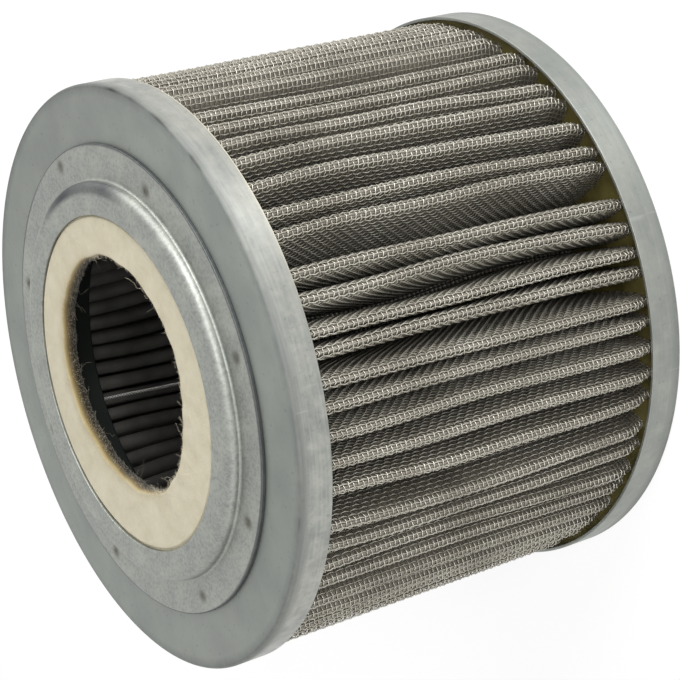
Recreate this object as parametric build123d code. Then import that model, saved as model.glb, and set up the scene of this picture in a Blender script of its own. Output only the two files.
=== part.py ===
"""Hydraulic suction filter: a pleated wire-mesh element between two pressed steel end caps.

Millimetres, +Z up. The element stands on its closed rear cap, with its axis on Z and the
origin in the middle of that cap's underside. The felt sealed outlet is at the top.
"""
from build123d import *
import math
import os

# Overall
cap_radius = 71.0
body_height = 108.0

# Pressed end caps
cap_sheet = 0.8
cap_bend = 1.3
dish_bend = 1.0
front_skirt = 8.3
rear_skirt = 8.7
neck_radius = 40.0
neck_depth = 9.2
dish_height = 7.0

# Seal retainer, a pressed ring spot-welded on the front cap
retainer_sheet = 1.0
flange_radius = 57.2
step_radius = 48.6
step_height = 4.0
lip_radius = 40.8
step_bend = 1.6
weld_count = 8
weld_circle_radius = 52.9
weld_width = 3.2
weld_depth = 0.3
weld_sides = 6
weld_first_angle = 3.0

# Felt seal, held under the retainer's lip
felt_bore = 28.4
felt_slack = 0.2
felt_crown = 0.6

# Pleated pack: coarse support mesh outside, fine filter mesh inside
pleat_count = 64
support_mesh = 0.8
filter_mesh = 0.3
tip_clearance = 0.4
neck_clearance = 0.6
tip_width = 2.8
root_width = 3.6
tip_flat_count = 2
root_flat_count = 1
# Gaps between outer folds as the hand-pleated pack has them, in degrees, for a quarter of the ring
tip_gaps = (4.5, 8.0, 6.1, 5.4, 5.4, 4.1, 6.5, 3.3, 6.4, 4.5, 8.3, 4.0, 6.5, 6.5, 4.5, 4.5)
first_tip_angle = -44.7

# Epoxy that pots the pack's ends into the caps
rear_fill = 5.4
front_fill = 5.2

skirt_inside = cap_radius - cap_sheet
neck_outside = neck_radius + cap_sheet
pack_bottom = cap_sheet + rear_fill
pack_top = body_height - cap_sheet - front_fill
tip_radius = skirt_inside - tip_clearance
root_radius = neck_outside + neck_clearance


def polar(radius, angle):
    """Point at a radius and an angle in degrees."""
    return Vector(radius * math.cos(math.radians(angle)), radius * math.sin(math.radians(angle)))


def angle_of(vector):
    """Direction of a vector in degrees."""
    return math.degrees(math.atan2(vector.Y, vector.X))


def fold(centre, reach, start, sweep, flats):
    """Corners of a fold: flats tangent to a circle, turning from one straight run to the next."""
    half = sweep / (2 * flats + 2)
    out = reach / math.cos(math.radians(half))
    return [centre + polar(out, start + half * (2 * k + 1)) for k in range(flats + 1)]


def bent(before, here, after, bend, flats):
    """Corners of a pressed bend where two straight runs of a profile meet."""
    back = (before - here).normalized()
    onward = (after - here).normalized()
    half = math.radians(back.get_angle(onward) / 2)
    centre = here + (back + onward).normalized() * (bend / math.sin(half))
    start = angle_of(here + back * (bend / math.tan(half)) - centre)
    end = angle_of(here + onward * (bend / math.tan(half)) - centre)
    sweep = (end - start + 180) % 360 - 180
    return fold(centre, bend, start, sweep, flats)


def turned(corners):
    """Solid turned about Z from corners of (radius, height), or with (bend, flats) as well."""
    places = [Vector(*corner[:2]) for corner in corners]
    points = []
    for k, corner in enumerate(corners):
        if len(corner) == 2:
            points.append(places[k])
        else:
            points += bent(places[k - 1], places[k], places[(k + 1) % len(places)], *corner[2:])
    return revolve(Plane.XZ * make_face(Polyline(*points, close=True)), Axis.Z)


def front_end_cap():
    """Ring cap: face, outer skirt and the inward neck of the outlet, one pressing."""
    top = body_height
    return turned([
        (neck_radius, top),
        (cap_radius, top, cap_bend, 1),
        (cap_radius, top - front_skirt),
        (skirt_inside, top - front_skirt),
        (skirt_inside, top - cap_sheet),
        (neck_outside, top - cap_sheet),
        (neck_outside, top - neck_depth),
        (neck_radius, top - neck_depth),
    ])


def rear_end_cap():
    """Closed cap: outer skirt, a channel for the pack and a dished centre, one pressing."""
    return turned([
        (0, dish_height - cap_sheet),
        (neck_radius, dish_height - cap_sheet),
        (neck_radius, 0, dish_bend, 1),
        (cap_radius, 0, cap_bend, 1),
        (cap_radius, rear_skirt),
        (skirt_inside, rear_skirt),
        (skirt_inside, cap_sheet),
        (neck_outside, cap_sheet),
        (neck_outside, dish_height),
        (0, dish_height),
    ])


def seal_retainer():
    """Flanged ring with a raised step that clamps the felt, and its spot-weld marks."""
    foot = body_height
    top = foot + step_height
    inside = step_radius - retainer_sheet
    ring = turned([
        (flange_radius, foot),
        (flange_radius, foot + retainer_sheet),
        (step_radius, foot + retainer_sheet, step_bend - retainer_sheet, 1),
        (step_radius, top, step_bend, 2),
        (lip_radius, top),
        (lip_radius, top - retainer_sheet),
        (inside, top - retainer_sheet),
        (inside, foot),
    ])
    mark = extrude(RegularPolygon(weld_width / 2, weld_sides), weld_depth)
    dent_floor = foot + retainer_sheet - weld_depth
    for place in PolarLocations(weld_circle_radius, weld_count, weld_first_angle):
        ring -= Pos(0, 0, dent_floor) * place * mark
    return ring


def felt_seal():
    """Felt ring clamped under the lip, crowned where it stands free in the retainer's opening."""
    foot = body_height
    clamped = foot + step_height - retainer_sheet
    outside = step_radius - retainer_sheet - felt_slack
    shoulder = lip_radius - felt_slack
    return turned([
        (felt_bore, foot),
        (outside, foot),
        (outside, clamped),
        (shoulder, clamped),
        (shoulder - felt_crown, clamped + felt_crown),
        (felt_bore, clamped + felt_crown),
    ])


def tip_angles():
    """Angles of the outer folds: the gaps as listed, then repeated and stretched to close the ring."""
    listed = len(tip_gaps)
    stretch = (360 - sum(tip_gaps)) / (sum(tip_gaps) * (pleat_count / listed - 1))
    gaps = [tip_gaps[k % listed] * (1 if k < listed else stretch) for k in range(pleat_count)]
    return [first_tip_angle + sum(gaps[:k]) for k in range(pleat_count)]


def root_angles(tips):
    """Angles of the inner folds: even, because there they stand side by side."""
    pitch = 360 / pleat_count
    shift = sum(tip - pitch * k for k, tip in enumerate(tips)) / pleat_count
    return [shift + pitch * (k + 0.5) for k in range(pleat_count)]


def flank_normal(root, tip, reach, side):
    """Angle of a flank's outward normal; the flank is tangent to the two folds it joins."""
    run = tip - root
    lean = math.degrees(math.asin(reach / run.length))
    return angle_of(run) + side * (90 + lean)


def pack_outline(level):
    """Closed outline of the pleats, at a level outwards from the face where the meshes touch."""
    tip_reach = tip_width / 2 - support_mesh
    root_reach = root_width / 2 - filter_mesh
    tips = tip_angles()
    roots = root_angles(tips)
    tip_centres = [polar(tip_radius - tip_width / 2, angle) for angle in tips]
    root_centres = [polar(root_radius + root_width / 2, angle) for angle in roots]
    both = tip_reach + root_reach
    points = []
    for k in range(pleat_count):
        tip = tip_centres[k]
        root = root_centres[k]
        onward = tip_centres[(k + 1) % pleat_count]
        rising = flank_normal(root_centres[k - 1], tip, both, -1)
        falling = flank_normal(root, tip, both, 1)
        next_rising = flank_normal(root, onward, both, -1)
        points += fold(tip, tip_reach + level, rising, (falling - rising) % 360, tip_flat_count)
        turn_back = -((falling - next_rising) % 360)
        points += fold(root, level - root_reach, falling, turn_back, root_flat_count)
    return Wire(Polyline(*points, close=True).edges())


def pleated(outer_level, inner_level):
    """Pleated sheet between two levels, standing from one cap's epoxy to the other's."""
    section = Face(pack_outline(outer_level), [pack_outline(inner_level)])
    return extrude(Pos(0, 0, pack_bottom) * section, pack_top - pack_bottom, dir=(0, 0, 1))


def potting(bottom, depth):
    """Ring of set epoxy in a cap's channel."""
    return turned([
        (neck_outside, bottom),
        (skirt_inside, bottom),
        (skirt_inside, bottom + depth),
        (neck_outside, bottom + depth),
    ])


parts = {
    "rear_end_cap": rear_end_cap(),
    "front_end_cap": front_end_cap(),
    "seal_retainer": seal_retainer(),
    "felt_seal": felt_seal(),
    "support_mesh": pleated(support_mesh, 0),
    "filter_mesh": pleated(0, -filter_mesh),
    "rear_potting": potting(cap_sheet, rear_fill),
    "front_potting": potting(pack_top, front_fill),
}

os.makedirs("parts", exist_ok=True)
for name, solid in parts.items():
    export_step(solid, f"parts/{name}.step")
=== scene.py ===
"""Looks of a hydraulic suction filter: pleated woven wire between two pressed steel caps.

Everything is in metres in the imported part's frame: +Z is the filter's axis, the felt sealed outlet is
at the top and the closed rear cap stands on the floor. Angles are measured about Z, and angle 0 faces
the camera.
"""

import bpy
import numpy as np
from mathutils import Matrix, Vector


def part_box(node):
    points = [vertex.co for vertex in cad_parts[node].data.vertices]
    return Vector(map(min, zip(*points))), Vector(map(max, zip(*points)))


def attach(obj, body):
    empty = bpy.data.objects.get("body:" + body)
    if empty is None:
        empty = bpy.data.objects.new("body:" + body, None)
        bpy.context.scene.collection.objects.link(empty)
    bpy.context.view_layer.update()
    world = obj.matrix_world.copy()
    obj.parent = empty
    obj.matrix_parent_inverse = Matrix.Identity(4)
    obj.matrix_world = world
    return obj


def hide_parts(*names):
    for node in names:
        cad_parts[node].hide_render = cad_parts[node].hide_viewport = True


MM = 0.001

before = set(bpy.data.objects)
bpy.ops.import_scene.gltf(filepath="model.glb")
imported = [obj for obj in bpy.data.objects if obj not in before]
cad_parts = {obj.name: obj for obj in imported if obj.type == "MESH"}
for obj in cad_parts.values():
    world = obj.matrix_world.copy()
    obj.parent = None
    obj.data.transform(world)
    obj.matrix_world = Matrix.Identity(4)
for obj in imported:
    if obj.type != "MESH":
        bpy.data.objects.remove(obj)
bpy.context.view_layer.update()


def low(node):
    """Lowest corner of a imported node."""
    return np.array(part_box(node)[0])


def high(node):
    """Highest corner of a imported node."""
    return np.array(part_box(node)[1])


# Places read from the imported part
cap_radius = high("front_end_cap")[0]
body_height = high("front_end_cap")[2]
front_lip = body_height - 8.3 * MM
rear_lip = high("rear_end_cap")[2]
flange_radius = high("seal_retainer")[0]
retainer_top = high("seal_retainer")[2]
rear_level = high("rear_potting")[2]
front_level = low("front_potting")[2]

# Pressed sheet
cap_sheet = 0.8 * MM
retainer_sheet = 1.0 * MM
cap_bend = 0.8 * MM
neck_radius = 40 * MM
neck_depth = 9.2 * MM
dish_height = 7 * MM
step_radius = 48.6 * MM
lip_radius = 40.8 * MM
step_bend = 2.1 * MM
foot_bend = 0.6 * MM
skirt_inside = cap_radius - cap_sheet
neck_outside = neck_radius + cap_sheet

# Spot welds, placed as the welder left them: angle, and radius in mm
welds = ((-132, 53.2), (-84, 53.2), (-44.5, 53.0), (-1.5, 53.2), (50.6, 51.9), (96.8, 54.6), (144, 53.2),
         (186, 53.2))
weld_size = 3.1 * MM
weld_depth = 0.12 * MM

# Handling: chips of the front cap's corner as (angle, half length, depth of colour), and dents of its
# skirt as (angle, distance from the face, width, depth), in degrees and mm
corner_chips = ((36, 2.2, 1.0), (50, 6.0, 0.55), (65, 7.0, 0.65), (-34, 1.2, 0.4), (112, 5.0, 0.4))
skirt_dents = ((15, 3.2, 2.2, 0.10), (27, 5.6, 2.6, 0.12), (44, 3.6, 1.9, 0.09), (58, 5.2, 2.4, 0.14),
               (69, 3.0, 1.7, 0.10), (2, 5.4, 2.0, 0.08), (-22, 3.4, 2.4, 0.10), (-41, 5.5, 2.0, 0.09))

# Hand-cut hole of the felt: radius in mm at angles in degrees
felt_hole = ((-150, 26.6), (-120, 25.7), (-75, 27.3), (-20, 27.4), (0, 29.7), (45, 30.6), (90, 31.2),
             (130, 30.5), (180, 28.9))
felt_crown = 0.6 * MM
fibre_radius = 0.026 * MM

# Pleated pack
pleat_count = 64
tip_gaps = (4.5, 8.0, 6.1, 5.4, 5.4, 4.1, 6.5, 3.3, 6.4, 4.5, 8.3, 4.0, 6.5, 6.5, 4.5, 4.5)
first_tip = -44.5
tip_width = 2.8 * MM
root_width = 3.7 * MM
support_sheet = 0.8 * MM
filter_sheet = 0.3 * MM
flank_bulge = 0.85 * MM
tip_radius = high("support_mesh")[0] - 0.1 * MM
root_radius = neck_outside + 0.6 * MM
# How far each fold leans from its middle, in degrees at the rear and front lips
rear_shift = (0.0, 0.0, -0.5, -0.8, -0.7, -0.9, -1.0, -1.3, -0.9, -1.8, -1.7, -1.3, -1.8, -2.0, -2.0, -2.0)
front_shift = (1.4, 1.4, 1.5, 0.9, 1.1, 0.6, 1.0, 0.2, 0.6, 0.5, 0.4, 0.3, 0.7, 0.1, 0.1, 0.7)

stitched_fold = -177.5
stitch_reach = 0.34 * MM
stitch_radius = 0.17 * MM

# Woven support cloth, 20 wires to the inch
wire_pitch = 1.275 * MM
wire_swing = 0.205 * MM
wire_radius = 0.185 * MM
deepest_wires = 23.5 * MM

# Camera, fitted to the photograph in units of the cap's radius
camera_elevation = 0.5400
camera_roll = -1.8425
camera_distance = 7.670
camera_aim_height = 0.7141
camera_aside = -0.0514
camera_lens = 115.07


def linear(hex_colour):
    """An sRGB colour such as 9aa0a0 as linear red, green, blue and alpha."""
    srgb = np.array([int(hex_colour[i:i + 2], 16) / 255 for i in (0, 2, 4)])
    value = np.where(srgb <= 0.04045, srgb / 12.92, ((srgb + 0.055) / 1.055) ** 2.4)
    return (*value.tolist(), 1.0)


def add(tree, kind, inputs=(), out=0, stops=(), **settings):
    """Adds a node and gives the output asked for. Inputs are values, or sockets to link from, by name or
    in order; stops are a colour ramp's (place, hex colour); settings are the node's own properties."""
    node = tree.nodes.new(kind)
    for name, value in settings.items():
        setattr(node, name, value)
    for name, value in inputs.items() if isinstance(inputs, dict) else enumerate(inputs):
        if isinstance(value, bpy.types.NodeSocket):
            tree.links.new(value, node.inputs[name])
        else:
            node.inputs[name].default_value = value
    while len(stops) > len(node.color_ramp.elements if stops else ()):
        node.color_ramp.elements.new(0.5)
    for (at, colour), element in zip(stops, node.color_ramp.elements if stops else ()):
        element.position = at
        element.color = linear(colour)
    return node.outputs[out] if node.outputs else node


def new_material(name):
    """An empty node material and its tree."""
    material = bpy.data.materials.new(name)
    material.use_nodes = True
    material.node_tree.nodes.clear()
    return material, material.node_tree


def zinc_plated_pressing():
    """Zinc plated deep drawn steel. The blank holder leaves the face dull and even. The die burnishes the
    skirt, whose plating is cloudy, worn and pitted by handling, and the corner is chipped. On the front cap
    the neck carries painted shade and the skirt's free edge a painted highlight."""
    material, tree = new_material("zinc_plated_pressed_steel")
    place = add(tree, "ShaderNodeTexCoord", out="Object")
    burnish, painted_neck_shade, corner, chip, lip = (
        add(tree, "ShaderNodeAttribute", out="Fac", attribute_name=name)
        for name in ("burnish", "painted_neck_shade", "corner", "chip", "lip"))
    mottle = add(tree, "ShaderNodeTexNoise", {"Vector": place, "Scale": 90.0, "Detail": 4.0})
    cloud = add(tree, "ShaderNodeTexNoise", {
        "Vector": place, "Scale": 240.0, "Detail": 6.0, "Roughness": 0.65})
    stain_and_painted_shade = add(tree, "ShaderNodeTexNoise", {"Vector": place, "Scale": 45.0, "Detail": 3.0})
    speck = add(tree, "ShaderNodeTexNoise", {"Vector": place, "Scale": 900.0, "Detail": 3.0})
    grain = add(tree, "ShaderNodeMapping", {"Vector": place, "Scale": (60.0, 60.0, 1700.0)})
    drawn = add(tree, "ShaderNodeTexNoise", {"Vector": grain, "Scale": 1.0, "Detail": 4.0})
    face = add(tree, "ShaderNodeValToRGB", [mottle], stops=((0.3, "888c88"), (0.7, "939791")))
    skirt = add(tree, "ShaderNodeValToRGB", [cloud],
                stops=((0.3, "848784"), (0.5, "959792"), (0.7, "a9aaa3")))
    colour = add(tree, "ShaderNodeMix", {0: burnish, 6: face, 7: skirt}, 2, data_type="RGBA")
    warm = add(tree, "ShaderNodeMapRange", [stain_and_painted_shade, 0.5, 0.62, 0.0, 0.14])
    warm = add(tree, "ShaderNodeMath", [warm, burnish], operation="MULTIPLY")
    pits = add(tree, "ShaderNodeMapRange", [speck, 0.64, 0.72, 0.0, 0.35])
    streaks = add(tree, "ShaderNodeMapRange", [drawn, 0.4, 0.7, 0.0, 0.25])
    streaks = add(tree, "ShaderNodeMath", [streaks, burnish], operation="MULTIPLY")
    worn = add(tree, "ShaderNodeMapRange", [cloud, 0.4, 0.6, 0.25, 0.7])
    worn = add(tree, "ShaderNodeMath", [worn, corner], operation="MULTIPLY")
    # The lip tint e4ddc8 is a painted highlight: a cream line along the front skirt's free edge.
    shares = [(warm, "c9c6b8"), (pits, "5f6462"), (streaks, "c3c3bb"), (worn, "7b7e7c"), (chip, "2d302f"),
              (lip, "e4ddc8")]
    for angle in (25.0, -50.0):
        lie = add(tree, "ShaderNodeMapping", {
            "Vector": place, "Rotation": (0.0, 0.0, np.radians(angle)), "Scale": (5000.0, 45.0, 45.0)})
        scratch = add(tree, "ShaderNodeTexNoise", {"Vector": lie, "Scale": 1.0, "Detail": 1.0})
        shares.append((add(tree, "ShaderNodeMapRange", [scratch, 0.72, 0.76, 0.0, 0.2]), "c4c7c2"))
    # Painted shade: the neck is painted dark grey for the shade and dark reflection of the bore.
    shares.append((painted_neck_shade, "2c302d"))
    for share, tint in shares:
        colour = add(tree, "ShaderNodeMix", {0: share, 6: colour, 7: linear(tint)}, 2, data_type="RGBA")
    bright = add(tree, "ShaderNodeMapRange", [cloud, 0.35, 0.65, 0.46, 0.34])
    rough = add(tree, "ShaderNodeMapRange", [burnish, 0.0, 1.0, 0.52, bright])
    rough = add(tree, "ShaderNodeMapRange", [corner, 0.0, 1.0, rough, 0.7])
    relief = add(tree, "ShaderNodeMath", [drawn, 0.3, cloud], operation="MULTIPLY_ADD")
    bump = add(tree, "ShaderNodeBump", {"Height": relief, "Strength": 0.25, "Distance": 0.04 * MM})
    tangent = add(tree, "ShaderNodeTangent", direction_type="UV_MAP", uv_map="wrap")
    shader = add(tree, "ShaderNodeBsdfPrincipled", {
        "Base Color": colour, "Metallic": 1.0, "Roughness": rough, "Anisotropic": 0.6,
        "Anisotropic Rotation": 0.25, "Tangent": tangent, "Normal": bump})
    add(tree, "ShaderNodeOutputMaterial", [shader])
    return material


def zinc_plated_ring():
    """Zinc plated ring pressed from thicker sheet: a fine bright grain, a painted dark reflection on one side
    of the step's wall, painted shade on the flange's sheared rim, and the welding electrode's burnt dents."""
    material, tree = new_material("zinc_plated_grained_ring")
    place = add(tree, "ShaderNodeTexCoord", out="Object")
    dent, wall = (
        add(tree, "ShaderNodeAttribute", out="Fac", attribute_name=name) for name in ("dent", "stain_and_painted_shade"))
    mottle = add(tree, "ShaderNodeTexNoise", {
        "Vector": place, "Scale": 160.0, "Detail": 5.0, "Roughness": 0.6})
    grain = add(tree, "ShaderNodeTexNoise", {
        "Vector": place, "Scale": 1100.0, "Detail": 3.0, "Roughness": 0.7})
    colour = add(tree, "ShaderNodeValToRGB", [mottle],
                 stops=((0.3, "888b87"), (0.5, "949690"), (0.7, "a1a39c")))
    burnt = add(tree, "ShaderNodeMapRange", [grain, 0.35, 0.65, 0.5, 1.0])
    burnt = add(tree, "ShaderNodeMath", [burnt, dent], operation="MULTIPLY")
    # Painted dark: 2c3239 is a dark reflection painted on one side of the step's wall and shade painted on
    # the flange's rim.
    shares = ((add(tree, "ShaderNodeMapRange", [grain, 0.4, 0.68, 0.0, 0.4]), "b4b7b2"),
              (add(tree, "ShaderNodeMapRange", [grain, 0.45, 0.3, 0.0, 0.35]), "737875"),
              (wall, "2c3239"), (burnt, "514d43"))
    for share, tint in shares:
        colour = add(tree, "ShaderNodeMix", {0: share, 6: colour, 7: linear(tint)}, 2, data_type="RGBA")
    rough = add(tree, "ShaderNodeMapRange", [mottle, 0.3, 0.7, 0.46, 0.56])
    bump = add(tree, "ShaderNodeBump", {"Height": grain, "Strength": 0.3, "Distance": 0.03 * MM})
    tangent = add(tree, "ShaderNodeTangent", direction_type="UV_MAP", uv_map="wrap")
    shader = add(tree, "ShaderNodeBsdfPrincipled", {
        "Base Color": colour, "Metallic": 1.0, "Roughness": rough, "Anisotropic": 0.15,
        "Anisotropic Rotation": 0.25, "Tangent": tangent, "Normal": bump})
    add(tree, "ShaderNodeOutputMaterial", [shader])
    return material


def drawn_wire():
    """Drawn stainless wire: a round section gives each wire a bright line on a grey body, and grime
    dulls it in patches."""
    material, tree = new_material("drawn_stainless_wire")
    place = add(tree, "ShaderNodeTexCoord", out="Object")
    patch = add(tree, "ShaderNodeTexNoise", {
        "Vector": place, "Scale": 60.0, "Detail": 5.0, "Roughness": 0.6})
    colour = add(tree, "ShaderNodeValToRGB", [patch],
                 stops=((0.3, "a8a498"), (0.5, "bfbbaf"), (0.7, "d0cdc2")))
    shader = add(tree, "ShaderNodeBsdfPrincipled", {
        "Base Color": colour, "Metallic": 0.85, "Roughness": 0.36})
    add(tree, "ShaderNodeOutputMaterial", [shader])
    return material


def painted_bright_wire():
    """The same wire where it is stitched along the inner fold, given a near white colour as a painted
    highlight so that it shows bright in the dark bore.
    """
    material, tree = new_material("painted_bright_stitching_wire")
    place = add(tree, "ShaderNodeTexCoord", out="Object")
    patch = add(tree, "ShaderNodeTexNoise", {"Vector": place, "Scale": 300.0, "Detail": 3.0})
    colour = add(tree, "ShaderNodeValToRGB", [patch], stops=((0.3, "dddbd4"), (0.55, "f7f6f2")))
    shader = add(tree, "ShaderNodeBsdfPrincipled", {
        "Base Color": colour, "Metallic": 0.6, "Roughness": 0.3})
    add(tree, "ShaderNodeOutputMaterial", [shader])
    return material


def woven_support():
    """The same cloth of wires where it is deep in the pleats: the weave as height and colour over the
    cloth's own threads, one UV unit to a thread."""
    material, tree = new_material("woven_wire_deep_in_pleats")
    threads = add(tree, "ShaderNodeUVMap", uv_map="threads")
    split = add(tree, "ShaderNodeSeparateXYZ", [threads]).node
    waves = []
    for axis in ("X", "Y"):
        turn = add(tree, "ShaderNodeMath", [split.outputs[axis], np.pi], operation="MULTIPLY")
        waves.append(add(tree, "ShaderNodeMath", [turn], operation="COSINE"))
    over = add(tree, "ShaderNodeMath", waves, operation="MULTIPLY")
    reach = add(tree, "ShaderNodeMath", [over], operation="ABSOLUTE")
    colour = add(tree, "ShaderNodeValToRGB", [reach], stops=((0.15, "44413c"), (0.7, "a5a196")))
    bump = add(tree, "ShaderNodeBump", {"Height": reach, "Strength": 1.0, "Distance": 0.35 * MM})
    shader = add(tree, "ShaderNodeBsdfPrincipled", {
        "Base Color": colour, "Metallic": 0.7, "Roughness": 0.5, "Normal": bump})
    add(tree, "ShaderNodeOutputMaterial", [shader])
    return material


def fine_filter_cloth():
    """Fine stainless filter cloth: threads too thin to see, so it looks like satin, grey outside and darker
    on the inner side, which faces the bore."""
    material, tree = new_material("fine_woven_stainless_cloth")
    place = add(tree, "ShaderNodeTexCoord", out="Object")
    inside = add(tree, "ShaderNodeAttribute", out="Fac", attribute_name="inside")
    patch = add(tree, "ShaderNodeTexNoise", {"Vector": place, "Scale": 90.0, "Detail": 3.0})
    clean = add(tree, "ShaderNodeValToRGB", [patch], stops=((0.3, "7d786f"), (0.7, "928d83")))
    inner_side_colour = add(tree, "ShaderNodeValToRGB", [patch], stops=((0.3, "5a5955"), (0.7, "7c7a75")))
    colour = add(tree, "ShaderNodeMix", {0: inside, 6: clean, 7: inner_side_colour}, 2, data_type="RGBA")
    rough = add(tree, "ShaderNodeMapRange", [inside, 0.0, 1.0, 0.5, 0.36])
    grain = add(tree, "ShaderNodeMapping", {"Vector": place, "Scale": (2200.0, 2200.0, 2600.0)})
    threads = add(tree, "ShaderNodeTexNoise", {"Vector": grain, "Scale": 1.0, "Detail": 1.0})
    bump = add(tree, "ShaderNodeBump", {"Height": threads, "Strength": 0.5, "Distance": 0.05 * MM})
    shader = add(tree, "ShaderNodeBsdfPrincipled", {
        "Base Color": colour, "Metallic": 0.6, "Roughness": rough, "Normal": bump})
    add(tree, "ShaderNodeOutputMaterial", [shader])
    return material


def pressed_felt():
    """Pressed wool felt: cream, dull and mottled by its fibres, with painted shade that deepens from tan to
    dark brown down the wall of the hole, and a faint painted shade on the face beside the hole's far side."""
    material, tree = new_material("pressed_wool_felt")
    place = add(tree, "ShaderNodeTexCoord", out="Object")
    cut = add(tree, "ShaderNodeAttribute", out="Fac", attribute_name="cut")
    mottle = add(tree, "ShaderNodeTexNoise", {
        "Vector": place, "Scale": 160.0, "Detail": 6.0, "Roughness": 0.7})
    fluff = add(tree, "ShaderNodeTexNoise", {
        "Vector": place, "Scale": 2600.0, "Detail": 3.0, "Roughness": 0.7})
    colour = add(tree, "ShaderNodeValToRGB", [mottle],
                 stops=((0.3, "d2c8aa"), (0.5, "dbd2b6"), (0.75, "e4dcc2")))
    # The cut ramp is painted shade, from the face's own colour to dark brown deep down the hole's wall.
    edge = add(tree, "ShaderNodeValToRGB", [cut],
               stops=((0.0, "ffffff"), (0.14, "cfc1a0"), (0.42, "8d8062"), (0.78, "2f2b23")))
    colour = add(tree, "ShaderNodeMix", {0: 1.0, 6: colour, 7: edge}, 2,
                 data_type="RGBA", blend_type="MULTIPLY")
    dust = add(tree, "ShaderNodeMapRange", [fluff, 0.62, 0.74, 0.0, 0.3])
    colour = add(tree, "ShaderNodeMix", {0: dust, 6: colour, 7: linear("9c8f74")}, 2, data_type="RGBA")
    fibres = add(tree, "ShaderNodeTexNoise", {
        "Vector": place, "Scale": 1400.0, "Detail": 5.0, "Roughness": 0.7, "Distortion": 1.5})
    bump = add(tree, "ShaderNodeBump", {"Height": fibres, "Strength": 0.7, "Distance": 0.25 * MM})
    shader = add(tree, "ShaderNodeBsdfPrincipled", {
        "Base Color": colour, "Roughness": 0.95, "Sheen Weight": 0.2, "Sheen Roughness": 0.5, "Normal": bump})
    add(tree, "ShaderNodeOutputMaterial", [shader])
    return material


def wool_fibre():
    """Loose wool fibres: dull, pale at the face and darker the further down they reach."""
    material, tree = new_material("loose_wool_fibre")
    place = add(tree, "ShaderNodeTexCoord", out="Object")
    split = add(tree, "ShaderNodeSeparateXYZ", [place], out="Z")
    depth = add(tree, "ShaderNodeMapRange", [split, body_height, body_height + 3.6 * MM])
    colour = add(tree, "ShaderNodeValToRGB", [depth],
                 stops=((0.1, "8a8474"), (0.75, "c4baa2"), (1.0, "d9d0b6")))
    shader = add(tree, "ShaderNodeBsdfPrincipled", {
        "Base Color": colour, "Roughness": 0.8, "Sheen Weight": 0.2})
    add(tree, "ShaderNodeOutputMaterial", [shader])
    return material


def cast_epoxy():
    """Poured epoxy: olive yellow, glossy where it levelled, cloudy with dust and bubbles."""
    material, tree = new_material("poured_epoxy_potting")
    place = add(tree, "ShaderNodeTexCoord", out="Object")
    cloud = add(tree, "ShaderNodeTexNoise", {"Vector": place, "Scale": 140.0, "Detail": 5.0})
    colour = add(tree, "ShaderNodeValToRGB", [cloud],
                 stops=((0.3, "45401f"), (0.55, "6a6234"), (0.8, "857c49")))
    bubbles = add(tree, "ShaderNodeTexNoise", {"Vector": place, "Scale": 900.0, "Detail": 2.0})
    rough = add(tree, "ShaderNodeMapRange", [cloud, 0.3, 0.7, 0.25, 0.5])
    bump = add(tree, "ShaderNodeBump", {"Height": bubbles, "Strength": 0.3, "Distance": 0.1 * MM})
    shader = add(tree, "ShaderNodeBsdfPrincipled", {
        "Base Color": colour, "Roughness": rough, "IOR": 1.55, "Normal": bump})
    add(tree, "ShaderNodeOutputMaterial", [shader])
    return material


def ripple(angle, height, seed, waves=6, first=2):
    """Sum of seeded cosines that close round the turn, each one finer and weaker, about -1 to 1."""
    rng = np.random.default_rng(seed)
    total = 0
    for k in range(waves):
        lift = rng.normal(0, 25)
        phase = rng.uniform(0, 2 * np.pi)
        total = total + np.cos((first + k) * angle + lift * height + phase) / (1 + 0.5 * k)
    return total / 2


def ease(value):
    """Smooth step: 0 below 0, 1 above 1."""
    held = np.clip(value, 0, 1)
    return held * held * (3 - 2 * held)


def spin(angle):
    """Unit vectors in the plan at angles in radians."""
    return np.stack([np.cos(angle), np.sin(angle)], -1)


def enclosed(points, faces):
    """Six times the volume that the faces enclose: the sum of each fan triangle's triple product."""
    return sum(
        np.einsum("ij,ij->", points[face[:, 0]], np.cross(points[face[:, i]], points[face[:, i + 1]]))
        for face in faces for i in range(1, face.shape[1] - 1))


def piece(name, points, faces, material, nodes=(), uv=None, marks=None):
    """A mesh object from whole arrays. faces lists index arrays, one for each number of corners, and is
    turned so that the enclosed volume is positive. uv is (map name, corner arrays as faces); marks are
    named values on the points."""
    if enclosed(points, faces) < 0:
        faces = [face[:, ::-1] for face in faces]
        uv = uv and (uv[0], [corner[:, ::-1] for corner in uv[1]])
    corners = np.concatenate([face.ravel() for face in faces])
    counts = np.concatenate([np.full(len(face), face.shape[1]) for face in faces])
    mesh = bpy.data.meshes.new(name)
    mesh.vertices.add(len(points))
    mesh.vertices.foreach_set("co", points.astype(np.float32).ravel())
    mesh.loops.add(len(corners))
    mesh.loops.foreach_set("vertex_index", corners.astype(np.int32))
    mesh.polygons.add(len(counts))
    mesh.polygons.foreach_set("loop_start", (np.cumsum(counts) - counts).astype(np.int32))
    mesh.polygons.foreach_set("use_smooth", np.ones(len(counts), bool))
    mesh.update(calc_edges=True)
    if uv:
        layer = mesh.uv_layers.new(name=uv[0])
        flat = np.concatenate([corner.reshape(-1, 2) for corner in uv[1]])
        layer.uv.foreach_set("vector", flat.astype(np.float32).ravel())
    for label, values in (marks or {}).items():
        attribute = mesh.attributes.new(label, "FLOAT", "POINT")
        attribute.data.foreach_set("value", values.astype(np.float32).ravel())
    mesh.materials.append(material)
    made = bpy.data.objects.new(name, mesh)
    bpy.context.scene.collection.objects.link(made)
    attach(made, "root")
    if nodes:
        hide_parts(*nodes)
    return made


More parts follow.
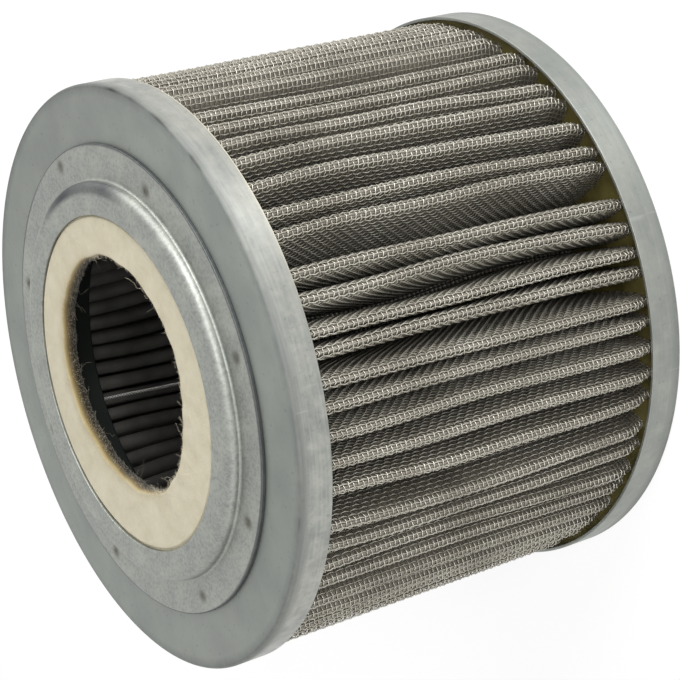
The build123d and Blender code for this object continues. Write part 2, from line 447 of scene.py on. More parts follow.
def grid_faces(rows, columns, wrap_rows=False, wrap_columns=False):
    """Quads of a grid of points numbered row by row, and each corner's (row, column) for its UV."""
    row = np.arange(rows if wrap_rows else rows - 1)[:, None]
    column = np.arange(columns if wrap_columns else columns - 1)[None, :]
    steps = ((0, 0), (0, 1), (1, 1), (1, 0))
    quads = np.stack([((row + r) % rows) * columns + (column + c) % columns for r, c in steps], -1)
    places = np.stack([np.stack(np.broadcast_arrays(row + r, column + c), -1) for r, c in steps], -2)
    return quads.reshape(-1, 4), places.reshape(-1, 4, 2).astype(float)


def profile(corners, spacing):
    """Closed outline through (radius, height, bend) corners in metres. Each bend is an arc tangent to
    both runs, and runs are divided evenly, closer beside a bend so that shading stays flat."""
    places = np.array([corner[:2] for corner in corners], float)
    outline = []
    for k, (radius, height, bend) in enumerate(corners):
        here = places[k]
        back = places[k - 1] - here
        onward = places[(k + 1) % len(places)] - here
        back = back / np.linalg.norm(back)
        onward = onward / np.linalg.norm(onward)
        half = np.arccos(np.clip(back @ onward, -1, 1)) / 2
        centre = here + (back + onward) / np.linalg.norm(back + onward) * bend / np.sin(half)
        start = here + back * bend / np.tan(half) - centre
        end = here + onward * bend / np.tan(half) - centre
        begin = np.arctan2(start[1], start[0])
        sweep = (np.arctan2(end[1], end[0]) - begin + np.pi) % (2 * np.pi) - np.pi
        arc = centre + bend * spin(begin + sweep * np.linspace(0, 1, 7))
        outline.append(arc)
    points = []
    for k, arc in enumerate(outline):
        following = outline[(k + 1) % len(outline)][0]
        run = following - arc[-1]
        length = np.linalg.norm(run)
        points.append(arc)
        count = max(int(length / spacing), 1)
        share = np.linspace(0, 1, count + 1)[1:-1]
        beside = min(0.15 * MM, length / 3) / length
        points.append(arc[-1] + run * np.sort(np.concatenate([[beside, 1 - beside], share]))[:, None])
    return np.concatenate(points)


def turned(outline, segments, shape=None):
    """Points of a closed outline of (radius, height) carried round Z: x = r cos a, y = r sin a. shape
    may move the radii and heights, as a function of angle, radius and height."""
    angle = np.linspace(0, 2 * np.pi, segments, endpoint=False)[:, None]
    radius, height = outline[None, :, 0] + 0 * angle, outline[None, :, 1] + 0 * angle
    if shape:
        radius, height = shape(angle, radius, height)
    points = np.stack([radius * np.cos(angle), radius * np.sin(angle), height], -1)
    quads, places = grid_faces(segments, len(outline), True, True)
    length = np.concatenate([[0], np.cumsum(np.linalg.norm(np.diff(outline, axis=0), axis=1))])
    length = np.append(length, length[-1] + np.linalg.norm(outline[0] - outline[-1]))
    uv = np.stack([places[..., 0] / segments, length[places[..., 1].astype(int)]], -1)
    return points.reshape(-1, 3), quads, uv


def aside_of(angle, middle):
    """How far angles in radians are from a middle in degrees, the short way round."""
    return (angle - np.radians(middle) + np.pi) % (2 * np.pi) - np.pi


def cap_waviness(angle, radius, height):
    """Pressed sheet is never quite true: the skirt waves by a tenth of a millimetre and has dents, each
    one a bell over its width."""
    near_edge = ease((radius - 0.8 * cap_radius) / (0.2 * cap_radius))
    dents = 0
    for middle, below, width, depth in skirt_dents:
        across = aside_of(angle, middle) * cap_radius / (width * MM)
        along = (height - body_height + below * MM) / (width * MM)
        dents = dents + depth * MM * np.exp(-2 * (across ** 2 + along ** 2))
    wave = 0.1 * MM * near_edge * ripple(angle, height, 3)
    return radius + wave - near_edge * dents, height


def burnish_of(points):
    """1 on the drawn skirt, falling to 0 over the bend onto the flat face."""
    radius = np.hypot(points[:, 0], points[:, 1])
    return ease((radius - cap_radius + 0.55 * MM) / (0.3 * MM))


def corner_of(points):
    """1 on the bend between the face and the skirt, 0 beyond a millimetre from it."""
    radius = np.hypot(points[:, 0], points[:, 1])
    below = np.minimum(points[:, 2], body_height - points[:, 2])
    return ease((radius - cap_radius + 1.3 * MM) / (0.5 * MM)) * ease((1.4 * MM - below) / (0.5 * MM))


def chip_of(points):
    """Depth of colour of the front corner's chips: bells along the turn, in a thin line at the foot of
    the bend on the face's side."""
    angle = np.arctan2(points[:, 1], points[:, 0])
    radius = np.hypot(points[:, 0], points[:, 1])
    share = sum(depth * np.exp(-(aside_of(angle, middle) / np.radians(half)) ** 4)
                for middle, half, depth in corner_chips)
    line = np.exp(-((radius - cap_radius + 0.6 * cap_bend) / (0.35 * MM)) ** 2)
    ragged = 0.75 + 0.5 * ripple(angle, 0, 71, 60, 40)
    return np.clip(share * line * ragged, 0, 1) * (points[:, 2] > body_height - 1.2 * MM)


def painted_neck_shade_of(points):
    """Painted shade: 1 in the neck, painted dark for the shade and dark reflection of the bore, and 0 from
    its rounded top outwards.
    """
    radius = np.hypot(points[:, 0], points[:, 1])
    down = ease((body_height - points[:, 2]) / (1.5 * MM))
    return ease((neck_outside + 0.6 * MM - radius) / (0.6 * MM)) * down


def worn(points, burnish, painted_neck_shade=0.0):
    """The marks that the pressings' material reads; the neck's painted shade, and the painted highlight along
    the skirt's free lip, are the front cap's."""
    angle = np.arctan2(points[:, 1], points[:, 0])
    outside = np.hypot(points[:, 0], points[:, 1]) > skirt_inside + 0.3 * MM
    # Painted highlight: a cream line along the front skirt's free edge, in a window of angles about 42
    # degrees.
    lip = ease((front_lip + 0.5 * MM - points[:, 2]) / (0.3 * MM)) * outside
    lip = lip * np.exp(-(aside_of(angle, 42) / np.radians(34)) ** 4)
    return {"burnish": burnish * burnish_of(points), "painted_neck_shade": painted_neck_shade * painted_neck_shade_of(points),
            "corner": corner_of(points), "chip": chip_of(points), "lip": painted_neck_shade * lip}


def front_end_cap(material):
    """Ring cap with its outer skirt and the neck that turns inwards behind the felt."""
    top = body_height
    edge = 0.3 * MM
    outline = profile([
        (neck_radius, top, 1.6 * MM),
        (cap_radius, top, cap_bend),
        (cap_radius, front_lip, edge),
        (skirt_inside, front_lip, edge),
        (skirt_inside, top - cap_sheet, 0.7 * MM),
        (neck_outside, top - cap_sheet, 0.8 * MM),
        (neck_outside, top - neck_depth, edge),
        (neck_radius, top - neck_depth, edge),
    ], 2 * MM)
    points, quads, uv = turned(outline, 600, cap_waviness)
    piece("front_cap", points, [quads], material, ["front_end_cap"],
          ("wrap", [uv]), worn(points, 1.0, 1.0))


def rear_end_cap(material):
    """Closed cap: skirt, channel for the pack and a dished centre plate. The plate's middle is a small
    lathe pip, so the turned outline closes on itself."""
    edge = 0.15 * MM
    pip = 0.02 * MM
    outline = profile([
        (pip, dish_height - cap_sheet, 0.001 * MM),
        (neck_radius, dish_height - cap_sheet, 0.6 * MM),
        (neck_radius, 0, 1.2 * MM),
        (cap_radius, 0, cap_bend),
        (cap_radius, rear_lip, edge),
        (skirt_inside, rear_lip, edge),
        (skirt_inside, cap_sheet, 0.7 * MM),
        (neck_outside, cap_sheet, 0.7 * MM),
        (neck_outside, dish_height, 1.0 * MM),
        (pip, dish_height, 0.001 * MM),
    ], 2 * MM)
    points, quads, uv = turned(outline, 420, cap_waviness)
    piece("rear_cap", points, [quads], material, ["rear_end_cap"],
          ("wrap", [uv]), worn(points, 0.4))


def weld_dents(angle, radius, height):
    """Share of a weld dent at each place of the flange: 1 in the middle of a round mark."""
    share = 0
    for middle, out in welds:
        apart = ((radius - out * MM) ** 2 + (aside_of(angle, middle) * out * MM) ** 2) / (weld_size / 2) ** 2
        share = share + np.exp(-apart ** 1.5)
    return share


def painted_wall_and_rim_shade(points):
    """1 where a dark reflection is painted on the step's wall, a bell along the turn between the flange and
    the lip, and nearly so on the flange's sheared rim, which is dull as sheared edges are and also gets
    painted shade for the gap beneath it."""
    angle = np.arctan2(points[:, 1], points[:, 0])
    radius = np.hypot(points[:, 0], points[:, 1])
    height = (points[:, 2] - body_height) / MM
    turn = np.exp(-(aside_of(angle, 86) / np.radians(25)) ** 4)
    patches = 0.75 + 0.25 * ripple(angle, height * 0.01, 61, 20, 9)
    band = ease((radius - step_radius + 3.4 * MM) / (1.6 * MM)) * ease((height - 1.6) / 0.8)
    sheared = ease((radius - flange_radius + 0.45 * MM) / (0.15 * MM))
    return np.clip(turn * band * patches + 0.7 * sheared, 0, 1)


def seal_retainer(material):
    """Flanged ring whose raised step clamps the felt."""
    foot = body_height
    edge = 0.15 * MM
    inside = step_radius - retainer_sheet
    outline = profile([
        (flange_radius, foot, edge),
        (flange_radius, foot + retainer_sheet, 0.25 * MM),
        (step_radius, foot + retainer_sheet, foot_bend),
        (step_radius, retainer_top, step_bend),
        (lip_radius, retainer_top, 0.3 * MM),
        (lip_radius, retainer_top - retainer_sheet, edge),
        (inside, retainer_top - retainer_sheet, step_bend - retainer_sheet),
        (inside, foot, edge),
    ], 0.55 * MM)

    def shape(angle, radius, height):
        """Dents pressed into the flange's top, and a rim that waves a little."""
        on_top = ease((height - foot - 0.5 * MM) / (0.4 * MM)) * (radius > step_radius + 0.5 * MM)
        lowered = height - weld_depth * on_top * weld_dents(angle, radius, height)
        rim = ease((radius - flange_radius + 3 * MM) / (3 * MM))
        return radius + 0.12 * MM * rim * ripple(angle, height, 8), lowered

    points, quads, uv = turned(outline, 900, shape)
    angle = np.arctan2(points[:, 1], points[:, 0])
    radius = np.hypot(points[:, 0], points[:, 1])
    on_flange = points[:, 2] < foot + 1.5 * MM
    dent = weld_dents(angle, radius, points[:, 2]) * on_flange
    # The wall and rim mark is painted: a dark reflection on the wall and shade on the rim.
    piece("seal_retainer_ring", points, [quads], material, ["seal_retainer"],
          ("wrap", [uv]), {"dent": dent, "stain_and_painted_shade": painted_wall_and_rim_shade(points)})


def felt_hole_radius(angle):
    """Radius of the hand-cut hole: given radii joined smoothly, with a ragged fine edge."""
    given = np.array(felt_hole)
    fine = np.linspace(-180, 180, 361)
    smooth = np.interp(fine, given[:, 0], given[:, 1], period=360)
    window = np.hanning(31)[None, :]
    reach = np.arange(-15, 16)[None, :]
    smooth = (smooth[(np.arange(361)[:, None] + reach) % 360] * window).sum(1) / window.sum()
    radius = np.interp(np.degrees(angle), fine, smooth, period=360)
    return (radius + 0.25 * ripple(angle, 0, 21, 24, 12)) * MM


def felt_seal(material, fibre):
    """Felt ring under the retainer's lip, crowned where it stands free, with loose fibres."""
    foot = body_height
    clamped = retainer_top - retainer_sheet
    outside = step_radius - retainer_sheet - 0.2 * MM
    shoulder = lip_radius - 0.2 * MM
    bore = 28.4 * MM
    outline = profile([
        (bore, foot, 0.5 * MM),
        (outside, foot, 0.3 * MM),
        (outside, clamped, 0.4 * MM),
        (shoulder, clamped, 0.1 * MM),
        (shoulder - 0.5 * MM, clamped + felt_crown, 0.4 * MM),
        (bore, clamped + felt_crown, 0.6 * MM),
    ], 0.6 * MM)

    def shape(angle, radius, height):
        """The hole pulls the free part of the ring to its own radius, and the top is uneven."""
        free = np.clip((shoulder - radius) / (shoulder - bore), 0, 1)
        moved = radius + free * (felt_hole_radius(angle) - bore)
        lump = ripple(angle, radius * 3, 5, 14, 3) * 0.12 * MM
        lump = lump + ripple(angle, radius * 12, 6, 20, 30) * 0.05 * MM
        top = ease((height - foot - 1.5 * MM) / (1.5 * MM))
        return moved, height + free ** 0.5 * top * (lump - 0.05 * MM)

    points, quads, uv = turned(outline, 900, shape)
    angle = np.arctan2(points[:, 1], points[:, 0])
    radius = np.hypot(points[:, 0], points[:, 1])
    # Painted shade: the hole's wall darkens with depth below the felt's face, and the face beside the hole on
    # the far side from angle 0 darkens a little too.
    beside = 1 - ease((radius - felt_hole_radius(angle)) / (1.2 * MM))
    painted_face_shade = np.exp(-((radius - felt_hole_radius(angle)) / (1.8 * MM)) ** 2) * ease(0.5 - np.cos(angle))
    cut = beside * np.clip((clamped + felt_crown - points[:, 2]) / (3.2 * MM), 0, 1) + 0.07 * painted_face_shade
    piece("felt_ring", points, [quads], material, ["felt_seal"], ("wrap", [uv]), {"cut": cut})
    felt_fibres(fibre, clamped + felt_crown)


def felt_fibres(material, top):
    """Fibres: short ones out of the cut edge and the face, and a few long ones lying across. Each runs
    from a root in a drifting direction, so it curls."""
    rng = np.random.default_rng(44)
    kinds = ((2400, 4, 0.8, 0.0), (300, 5, 1.4, 1.0), (60, 14, 4.5, 0.0), (12, 14, 6.0, 1.0))
    points, faces, start = [], [], 0
    for count, joints, length, on_face in kinds:
        angle = rng.uniform(0, 2 * np.pi, count)
        hole = felt_hole_radius(angle)
        radius = hole + (rng.uniform(0, 1, count) ** 2 * (lip_radius - hole) if on_face else 0.1 * MM)
        drop = np.where(np.cos(angle) > 0, 0.9, 3.3) * MM
        height = top + 0.02 * MM + 0 * angle if on_face else top - drop * rng.uniform(0.1, 1, count) ** 0.6
        root = np.stack([radius * np.cos(angle), radius * np.sin(angle), height], -1)
        inward = np.stack([-np.cos(angle), -np.sin(angle), 0 * angle], -1)
        aim = rng.normal(0, 0.7, (count, 3)) + inward * (1.0 if not on_face else 0.3)
        aim[:, 2] = np.abs(aim[:, 2]) * 0.2 if on_face else aim[:, 2] * 0.4 - 0.2
        aim /= np.linalg.norm(aim, axis=1)[:, None]
        turn = np.cumsum(rng.normal(0, 0.35, (count, joints, 3)), axis=1)
        turn[..., 2] *= 0.15
        step = length * MM / joints * rng.uniform(0.4, 1.3, (count, 1, 1))
        way = aim[:, None] + turn
        way /= np.linalg.norm(way, axis=2)[..., None]
        path = root[:, None] + np.concatenate([0 * way[:, :1], np.cumsum(way * step, axis=1)], axis=1)
        normal = np.cross(np.gradient(path, axis=1), [0.31, 0.22, 0.92])
        normal /= np.linalg.norm(normal, axis=2)[..., None]
        made, sides = tubes(path, normal, fibre_radius)
        points.append(made)
        faces.append([face + start for face in sides])
        start += len(made)
    faces = [np.concatenate([pair[i] for pair in faces]) for i in (0, 1)]
    piece("felt_loose_fibres", np.concatenate(points), faces, material)


def tubes(paths, normals, radius):
    """Three-sided closed tubes along paths of (tube, joint, xyz): at each joint a triangle across the
    path, one corner along the normal, and a triangle closing each end."""
    along = np.gradient(paths, axis=1)
    along /= np.linalg.norm(along, axis=2)[..., None]
    normals = normals - along * (normals * along).sum(2)[..., None]
    normals /= np.linalg.norm(normals, axis=2)[..., None]
    across = np.cross(along, normals)
    angle = np.radians([90, 210, 330])
    ring = (normals[:, :, None] * np.sin(angle)[:, None] + across[:, :, None] * np.cos(angle)[:, None])
    points = paths[:, :, None] + radius * ring
    count, joints = paths.shape[:2]
    quads, _ = grid_faces(joints, 3, False, True)
    first = (np.arange(count) * joints * 3)[:, None, None]
    ends = np.array([[2, 1, 0], [joints * 3 - 3, joints * 3 - 2, joints * 3 - 1]])
    return points.reshape(-1, 3), [(first + quads).reshape(-1, 4), (first + ends).reshape(-1, 3)]


def tip_angles():
    """Angles of the outer folds: the given gaps where the camera looks, and the same gaps stretched to
    close the ring elsewhere."""
    given = np.array(tip_gaps)
    turns = pleat_count // len(given)
    stretch = (360 - given.sum()) / (given.sum() * (turns - 1))
    gaps = np.concatenate([given, np.tile(given * stretch, turns - 1)])
    return np.radians(first_tip + np.concatenate([[0], np.cumsum(gaps)[:-1]]))


def gaps_beside():
    """Clear width in metres beside every tip at its radius, before it and after it."""
    middle = tip_angles()
    after = (np.roll(middle, -1) - middle) % (2 * np.pi) * tip_radius - tip_width
    return {-1: np.roll(after, 1), 1: after}


class Pack:
    """The pleats at a set of heights: where each fold's centre is and how its flanks lie."""

    def __init__(self, heights):
        self.heights = heights
        share = (heights - rear_lip) / (front_lip - rear_lip)
        turns = pleat_count // len(tip_gaps)
        rear, front = (np.tile(shift, turns)[:, None] for shift in (rear_shift, front_shift))
        lean = rear * (1 - share) * (1 - 2 * share) + front * share * (2 * share - 1)
        rng = np.random.default_rng(11)
        phase = rng.uniform(0, 2 * np.pi, (pleat_count, 3, 1))
        size = rng.normal(0, 1, (pleat_count, 3, 1)) * np.array([0.22, 0.26, 0.14])[:, None]
        wobble = (size * np.sin(np.pi * np.array([[1], [2], [4]]) * share + phase)).sum(1)
        room = np.minimum(*gaps_beside().values())
        wobble = wobble * np.clip(room / (3 * MM), 0.25, 1)[:, None]
        tips = tip_angles()
        self.tip_angle = tips[:, None] + np.radians(lean + wobble)
        pitch = 2 * np.pi / pleat_count
        roots = (tips - pitch * np.arange(pleat_count)).mean() + pitch * (np.arange(pleat_count) + 0.5)
        wave = 1.4 * np.sin(2.3 * np.pi * share + 3 * roots[:, None])
        self.root_angle = roots[:, None] + np.radians(lean.mean(0) + wave + 0.6 * np.roll(wobble, 7, axis=0))
        sunk = ease((rear_lip + 3.2 * MM - heights) / (6 * MM))
        depth = rng.uniform(0.8, 2.2, (pleat_count, 1)) * MM
        self.tip_reach = tip_width / 2 - support_sheet
        narrow = 0.3 * MM * rng.uniform(0, 1, (pleat_count, 1))
        self.root_reach = root_width / 2 - filter_sheet - narrow + 0.15 * MM * np.roll(wobble, 5, axis=0)
        self.bulge = {which: np.clip(0.3 * gap, 0, flank_bulge) for which, gap in gaps_beside().items()}
        out = tip_radius - tip_width / 2 - sunk * depth + 0.25 * MM * np.roll(wobble, 3, axis=0)
        self.tip = out[..., None] * spin(self.tip_angle)
        inward = root_radius + root_width / 2 + 0.5 * MM * np.abs(np.roll(wobble, 11, axis=0))
        self.root = inward[..., None] * spin(self.root_angle)

    def side(self, which):
        """Normal angle and straight length of the flanks on one side of every tip, 1 or -1."""
        root = self.root if which > 0 else np.roll(self.root, 1, axis=0)
        run = self.tip - root
        length = np.hypot(run[..., 0], run[..., 1])
        both = self.tip_reach + (self.root_reach if which > 0 else np.roll(self.root_reach, 1, axis=0))
        normal = np.arctan2(run[..., 1], run[..., 0]) + which * (np.pi / 2 + np.arcsin(both / length))
        return normal, np.sqrt(length ** 2 - both ** 2)

    def on_side(self, which, along, level):
        """Points and normal angles at distances along the cloth from the crest: round the tip's arc,
        then down the flank, which bulges as a sine that is fullest near the tip. The arrays are
        (pleat, distance, height)."""
        normal, straight = self.side(which)
        turn = (which * (normal - self.tip_angle) + np.pi) % (2 * np.pi) - np.pi
        middle = self.tip_reach + support_sheet / 2
        along = np.asarray(along)[..., :, None]
        turn = turn[:, None]
        arc = np.minimum(along / middle, turn)
        run = np.clip(along - middle * turn, 0, straight[:, None])
        facing = self.tip_angle[:, None] + which * arc
        share = run / straight[:, None]
        swell = self.bulge[which][:, None, None] * np.sin(np.pi * share ** 0.65)
        points = self.tip[:, None] + (self.tip_reach + level + swell)[..., None] * spin(facing)
        return points + run[..., None] * spin(facing + which * np.pi / 2), facing

    def flank_end(self, which):
        """Distance along the cloth from the crest to the foot of each flank."""
        normal, straight = self.side(which)
        turn = (which * (normal - self.tip_angle) + np.pi) % (2 * np.pi) - np.pi
        return turn * (self.tip_reach + support_sheet / 2) + straight

    def root_arc(self, shares, level):
        """Points and normal angles round each inner fold, from this tip's flank to the next one's."""
        falling = self.side(1)[0]
        rising = np.roll(self.side(-1)[0], -1, axis=0)
        back = (falling - rising) % (2 * np.pi)
        facing = falling[:, None] - back[:, None] * np.asarray(shares)[:, None]
        return self.root[:, None] + (level - self.root_reach)[:, None, :, None] * spin(facing), facing

    def raised(self, plan):
        """Plan points (pleat, place, height, xy) with their heights added."""
        height = np.broadcast_to(self.heights, plan.shape[:-1])
        return np.concatenate([plan, height[..., None]], axis=-1)


def sheet_sections(pack, level, end_depth=None):
    """A sheet's points at a level. Without end_depth it is the whole outline of every pleat; with it,
    only the valleys, from that depth on one tip down to the fold and up to the next tip."""
    if end_depth is None:
        crest = np.linspace(0, 1, 6) * 1.9 * MM
        walls = [pack.on_side(-1, crest[::-1], level)[0], pack.on_side(1, crest[1:], level)[0]]
    else:
        walls = [pack.on_side(1, end_depth[1][:, None], level)[0]]
    down = []
    for share in (0.33, 0.66, 0.98):
        end = pack.flank_end(1).mean(1)
        start = end_depth[1] if end_depth else 1.9 * MM
        down.append(pack.on_side(1, (start + (end - start) * share)[:, None], level)[0])
    fold = pack.root_arc(np.linspace(0.02, 0.98, 7), level)[0]
    up = []
    for share in (0.98, 0.66, 0.33):
        end = pack.flank_end(-1).mean(1)
        start = end_depth[0] if end_depth else 1.9 * MM
        up.append(np.roll(pack.on_side(-1, (start + (end - start) * share)[:, None], level)[0], -1, axis=0))
    if end_depth is not None:
        last = pack.on_side(-1, end_depth[0][:, None], level)[0]
        up.append(np.roll(last, -1, axis=0))
    plan = np.concatenate([*walls, *down, fold, *up], axis=1)
    return pack.raised(plan)


def fine_cloth(material):
    """The fine filter cloth: one closed shell through every fold, sunk into the epoxy at both ends."""
    pack = Pack(np.linspace(rear_level - 1.5 * MM, front_level + 1.5 * MM, 24))
    layers = []
    for level in (0.0, -filter_sheet):
        section = sheet_sections(pack, level)
        layers.append(section.reshape(-1, len(pack.heights), 3))
    columns, rows = layers[0].shape[:2]
    points = np.concatenate([layer.reshape(-1, 3) for layer in layers])
    quads, _ = grid_faces(columns, rows, True, False)
    inner = quads[:, ::-1] + columns * rows
    rims = []
    column = np.arange(columns)
    following = (column + 1) % columns
    for row, order in ((0, 1), (rows - 1, -1)):
        rim = np.stack([column * rows + row, following * rows + row], -1)
        rim = np.concatenate([rim, rim[:, ::-1] + columns * rows], axis=1)[:, ::order]
        rims.append(rim[:, ::-1])
    inside = np.repeat([0.0, 1.0], columns * rows)
    piece("fine_cloth", points, [np.concatenate([quads, inner, *rims])], material,
          ["filter_mesh"], marks={"inside": inside})


def wire_depths(pack):
    """How far down each side of each pleat the wires are modelled one by one: the depth that the
    camera sees between the tips, its line over the next tip met with the flank, and a short way where
    it sees none."""
    middle = tip_angles()
    depths = []
    for which, gap in gaps_beside().items():
        to_camera = -np.sin(middle) / camera_distance
        turned_to_camera = np.cos(pack.side(which)[0].mean(1) - to_camera)
        seen = np.minimum(gap / np.maximum(turned_to_camera, 0.1), gap * 7) + 4 * MM
        facing = np.cos(middle) > 0.05
        seen = np.where((turned_to_camera > -0.06) & facing, seen, 0)
        depths.append(np.clip(seen, 4.6 * MM, deepest_wires))
    return depths


def support_wires(material, deep_material):
    """The woven support cloth. Wires run up the pack and along its outline, and at the crossing of
    wire i and row j they pass over and under by turns: each swings out by the sign of i + j."""
    rows = np.arange(rear_level - 1.2 * MM, front_level + 1.2 * MM, wire_pitch)
    pack = Pack(rows)
    counts = [np.ceil(depth / wire_pitch).astype(int) for depth in wire_depths(pack)]
    most = [int(count.max()) for count in counts]
    level = support_sheet / 2
    left, left_facing = pack.on_side(-1, wire_pitch * np.arange(most[0], 0, -1), level)
    right, right_facing = pack.on_side(1, wire_pitch * np.arange(0, most[1] + 1), level)
    base = pack.raised(np.concatenate([left, right], axis=1))
    facing = np.concatenate([left_facing, right_facing], axis=1)
    normal = np.concatenate([spin(facing), 0 * facing[..., None]], axis=-1)
    column = np.arange(-most[0], most[1] + 1)
    swing = wire_swing * (1 - 2 * ((column[:, None] + np.arange(len(rows))[None, :]) % 2))
    share = 4
    for number in range(0, pleat_count, share):
        points, sides, start = [], [], 0
        for k in range(number, min(number + share, pleat_count)):
            seen = slice(most[0] - counts[0][k], most[0] + counts[1][k] + 1)
            across = base[k, seen] + normal[k, seen] * swing[seen][..., None]
            beneath = base[k, seen] - normal[k, seen] * swing[seen][..., None]
            for paths, normals in ((across, normal[k, seen]),
                                   (beneath.swapaxes(0, 1), normal[k, seen].swapaxes(0, 1))):
                made, faces = tubes(paths, normals, wire_radius)
                points.append(made)
                sides.append([face + start for face in faces])
                start += len(made)
        faces = [np.concatenate([pair[i] for pair in sides]) for i in (0, 1)]
        piece(f"support_wires_{number // share + 1:02d}", np.concatenate(points), faces, material,
              ["support_mesh"])
    deep_support(deep_material, [count * wire_pitch - 0.3 * MM for count in counts])


def deep_support(material, ends):
    """The support cloth in the depth of each valley, a closed strip with its threads on the UV map."""
    pack = Pack(np.linspace(rear_level - 1.2 * MM, front_level + 1.2 * MM, 24))
    outer = sheet_sections(pack, 0.55 * MM, ends)
    inner = sheet_sections(pack, 0.1 * MM, ends)
    columns, rows = outer.shape[1:3]
    points = np.stack([outer, inner], axis=1)
    quads, places = grid_faces(columns, rows)
    ring = np.concatenate([
        np.arange(columns) * rows,
        (columns - 1) * rows + np.arange(1, rows),
        (columns - 1 - np.arange(1, columns)) * rows + rows - 1,
        rows - 1 - np.arange(1, rows - 1)])
    onward = np.roll(ring, -1)
    other = columns * rows
    rim = np.stack([onward, ring, ring + other, onward + other], -1)
    width = np.linalg.norm(np.diff(outer.mean(2), axis=1), axis=-1)
    along = np.concatenate([0 * width[:, :1], np.cumsum(width, axis=1)], axis=1) / wire_pitch
    up = pack.heights / wire_pitch
    one = np.concatenate([quads, quads[:, ::-1] + other, rim])
    corner_column = (one % other) // rows
    corner_row = (one % other) % rows
    faces = (np.arange(pleat_count) * 2 * other)[:, None, None] + one
    uv = np.stack([along[:, corner_column], np.broadcast_to(up[corner_row], (pleat_count, *one.shape))], -1)
    piece("support_cloth_valleys", points.reshape(-1, 3), [faces.reshape(-1, 4)], material,
          ["support_mesh"], ("threads", [uv.reshape(-1, 4, 2)]))


def potting(name, node, material, surface, level):
    """Ring of epoxy in a cap's channel, its free surface uneven and creeping up the skirt."""
    bottom, top = low(node)[2], high(node)[2]
    outline = profile([
        (neck_outside, bottom, 0.05 * MM),
        (skirt_inside, bottom, 0.05 * MM),
        (skirt_inside, top, 0.05 * MM),
        (neck_outside, top, 0.05 * MM),
    ], 1.2 * MM)

    def shape(angle, radius, height):
        """The free surface waves by half a millimetre and climbs the skirt by one."""
        free = ease(1 - np.abs(height - surface) / (2 * MM))
        creep = np.exp((radius - skirt_inside) / (0.9 * MM)) * 0.9 * MM
        lump = 0.35 * MM * ripple(angle, radius * 2, 31, 18, 5)
        return radius, height + level * free * (lump + creep)

    points, quads, uv = turned(outline, 360, shape)
    piece(name, points, [quads], material, [node])


def selvedge(material):
    """The cloth's stitched edge along one inner fold: two wires that twist about each other, each a
    helix up the fold half a turn from the other."""
    turns = 60
    pack = Pack(np.linspace(rear_level, front_level, turns * 8))
    fold = np.argmin(np.abs(aside_of(pack.root_angle.mean(1), stitched_fold)))
    angle = pack.root_angle[fold]
    crest = np.hypot(*pack.root[fold].T) - pack.root_reach[fold] - filter_sheet
    swing = 2 * np.pi * turns * np.linspace(0, 1, turns * 8) + np.array([[0], [np.pi]])
    radius = crest - 0.45 * MM + stitch_reach * np.cos(swing)
    aside = stitch_reach * np.sin(swing)
    paths = np.stack([radius * np.cos(angle) - aside * np.sin(angle),
                      radius * np.sin(angle) + aside * np.cos(angle),
                      np.broadcast_to(pack.heights, swing.shape)], -1)
    points, faces = tubes(paths, np.broadcast_to([1.0, 0.0, 0.0], paths.shape), stitch_radius)
    piece("selvedge_wire", points, faces, material)


def camera():
    """The photograph's camera: a point on a circle about the axis, rolled so that the filter lies."""
    rise, roll = camera_elevation, camera_roll
    forward = np.array([-np.cos(rise), 0, -np.sin(rise)])
    level = np.array([0, 1, 0])
    up = np.array([-np.sin(rise), 0, np.cos(rise)])
    right = np.cos(roll) * level + np.sin(roll) * up
    above = -np.sin(roll) * level + np.cos(roll) * up
    place = -camera_distance * forward + np.array([0, camera_aside, camera_aim_height])
    data = bpy.data.cameras.new("photo_camera")
    data.lens = camera_lens
    data.sensor_width = 36
    data.clip_start = 0.02
    made = bpy.data.objects.new("photo_camera", data)
    bpy.context.scene.collection.objects.link(made)
    matrix = Matrix.Identity(4)
    for column, axis in enumerate((right, above, -forward, place * cap_radius)):
        for row in range(3):
            matrix[row][column] = axis[row]
    made.matrix_world = matrix
    bpy.context.scene.camera = made


def lamp(name, azimuth, elevation, distance, size, power):
    """A soft square lamp aimed at the middle of the filter."""
    data = bpy.data.lights.new(name, "AREA")
    data.shape = "RECTANGLE"
    data.size, data.size_y = size
    data.energy = power
    made = bpy.data.objects.new(name, data)
    bpy.context.scene.collection.objects.link(made)
    a, e = np.radians(azimuth), np.radians(elevation)
    away = np.array([np.cos(e) * np.cos(a), np.cos(e) * np.sin(a), np.sin(e)])
    middle = np.array([0, 0, body_height / 2])
    side = np.cross([0, 0, 1], away)
    side /= np.linalg.norm(side)
    matrix = Matrix.Identity(4)
    for column, axis in enumerate((side, np.cross(away, side), away, middle + away * distance)):
        for row in range(3):
            matrix[row][column] = axis[row]
    made.matrix_world = matrix


def seen_directly(tree):
    """1 for camera, glossy and transmission rays, which see the white background."""
    rays = add(tree, "ShaderNodeLightPath").node.outputs
    total = rays["Is Camera Ray"]
    for ray in ("Is Glossy Ray", "Is Transmission Ray"):
        total = add(tree, "ShaderNodeMath", [total, rays[ray]], operation="ADD", use_clamp=True)
    return total


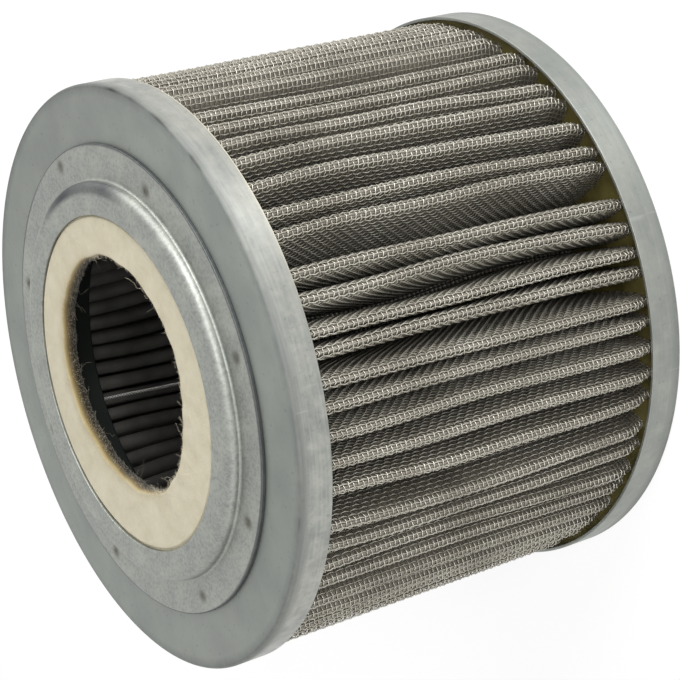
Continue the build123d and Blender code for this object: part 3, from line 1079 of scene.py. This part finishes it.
def surroundings():
    """White studio: a dim even dome for light, plain white to look at."""
    world = bpy.data.worlds.new("white_studio")
    bpy.context.scene.world = world
    world.use_nodes = True
    tree = world.node_tree
    tree.nodes.clear()
    dome = add(tree, "ShaderNodeBackground", {"Color": linear("ffffff"), "Strength": 0.47})
    white = add(tree, "ShaderNodeBackground", {"Color": linear("ffffff"), "Strength": 1.0})
    mix = add(tree, "ShaderNodeMixShader", {0: seen_directly(tree), 1: dome, 2: white})
    add(tree, "ShaderNodeOutputWorld", {"Surface": mix})


def floor():
    """Matt white floor: its own faint glow to the camera leaves white paper with a soft shadow."""
    material, tree = new_material("matt_white_paper")
    paper = add(tree, "ShaderNodeBsdfDiffuse", {"Color": linear("dcdcdc")})
    pale = add(tree, "ShaderNodeBsdfDiffuse", {"Color": linear("8c8c8c")})
    glow = add(tree, "ShaderNodeEmission", {"Color": linear("ffffff"), "Strength": 0.82})
    lit = add(tree, "ShaderNodeAddShader", [pale, glow])
    mix = add(tree, "ShaderNodeMixShader", [seen_directly(tree), paper, lit])
    add(tree, "ShaderNodeOutputMaterial", [mix])
    reach = 6.0
    mesh = bpy.data.meshes.new("floor")
    mesh.from_pydata([(x * reach, y * reach, 0) for x, y in ((-1, -1), (1, -1), (1, 1), (-1, 1))],
                     [], [(0, 1, 2, 3)])
    mesh.materials.append(material)
    made = bpy.data.objects.new("floor", mesh)
    bpy.context.scene.collection.objects.link(made)


scene = bpy.context.scene
scene.view_settings.view_transform = "Standard"

camera()
surroundings()
floor()
lamp("key_softbox", 42, 8, 0.9, (0.3, 0.5), 5.5)
lamp("front_softbox", 3, 26, 1.0, (0.4, 0.4), 3.2)
lamp("low_softbox", -58, 12, 1.0, (1.0, 0.8), 2.0)
lamp("high_softbox", 84, 14, 1.0, (1.2, 0.8), 7.5)

pressing = zinc_plated_pressing()
wire = drawn_wire()
front_end_cap(pressing)
rear_end_cap(pressing)
seal_retainer(zinc_plated_ring())
felt_seal(pressed_felt(), wool_fibre())
fine_cloth(fine_filter_cloth())
support_wires(wire, woven_support())
selvedge(painted_bright_wire())
epoxy = cast_epoxy()
potting("rear_epoxy", "rear_potting", epoxy, rear_level, 1)
potting("front_epoxy", "front_potting", epoxy, front_level, -1)
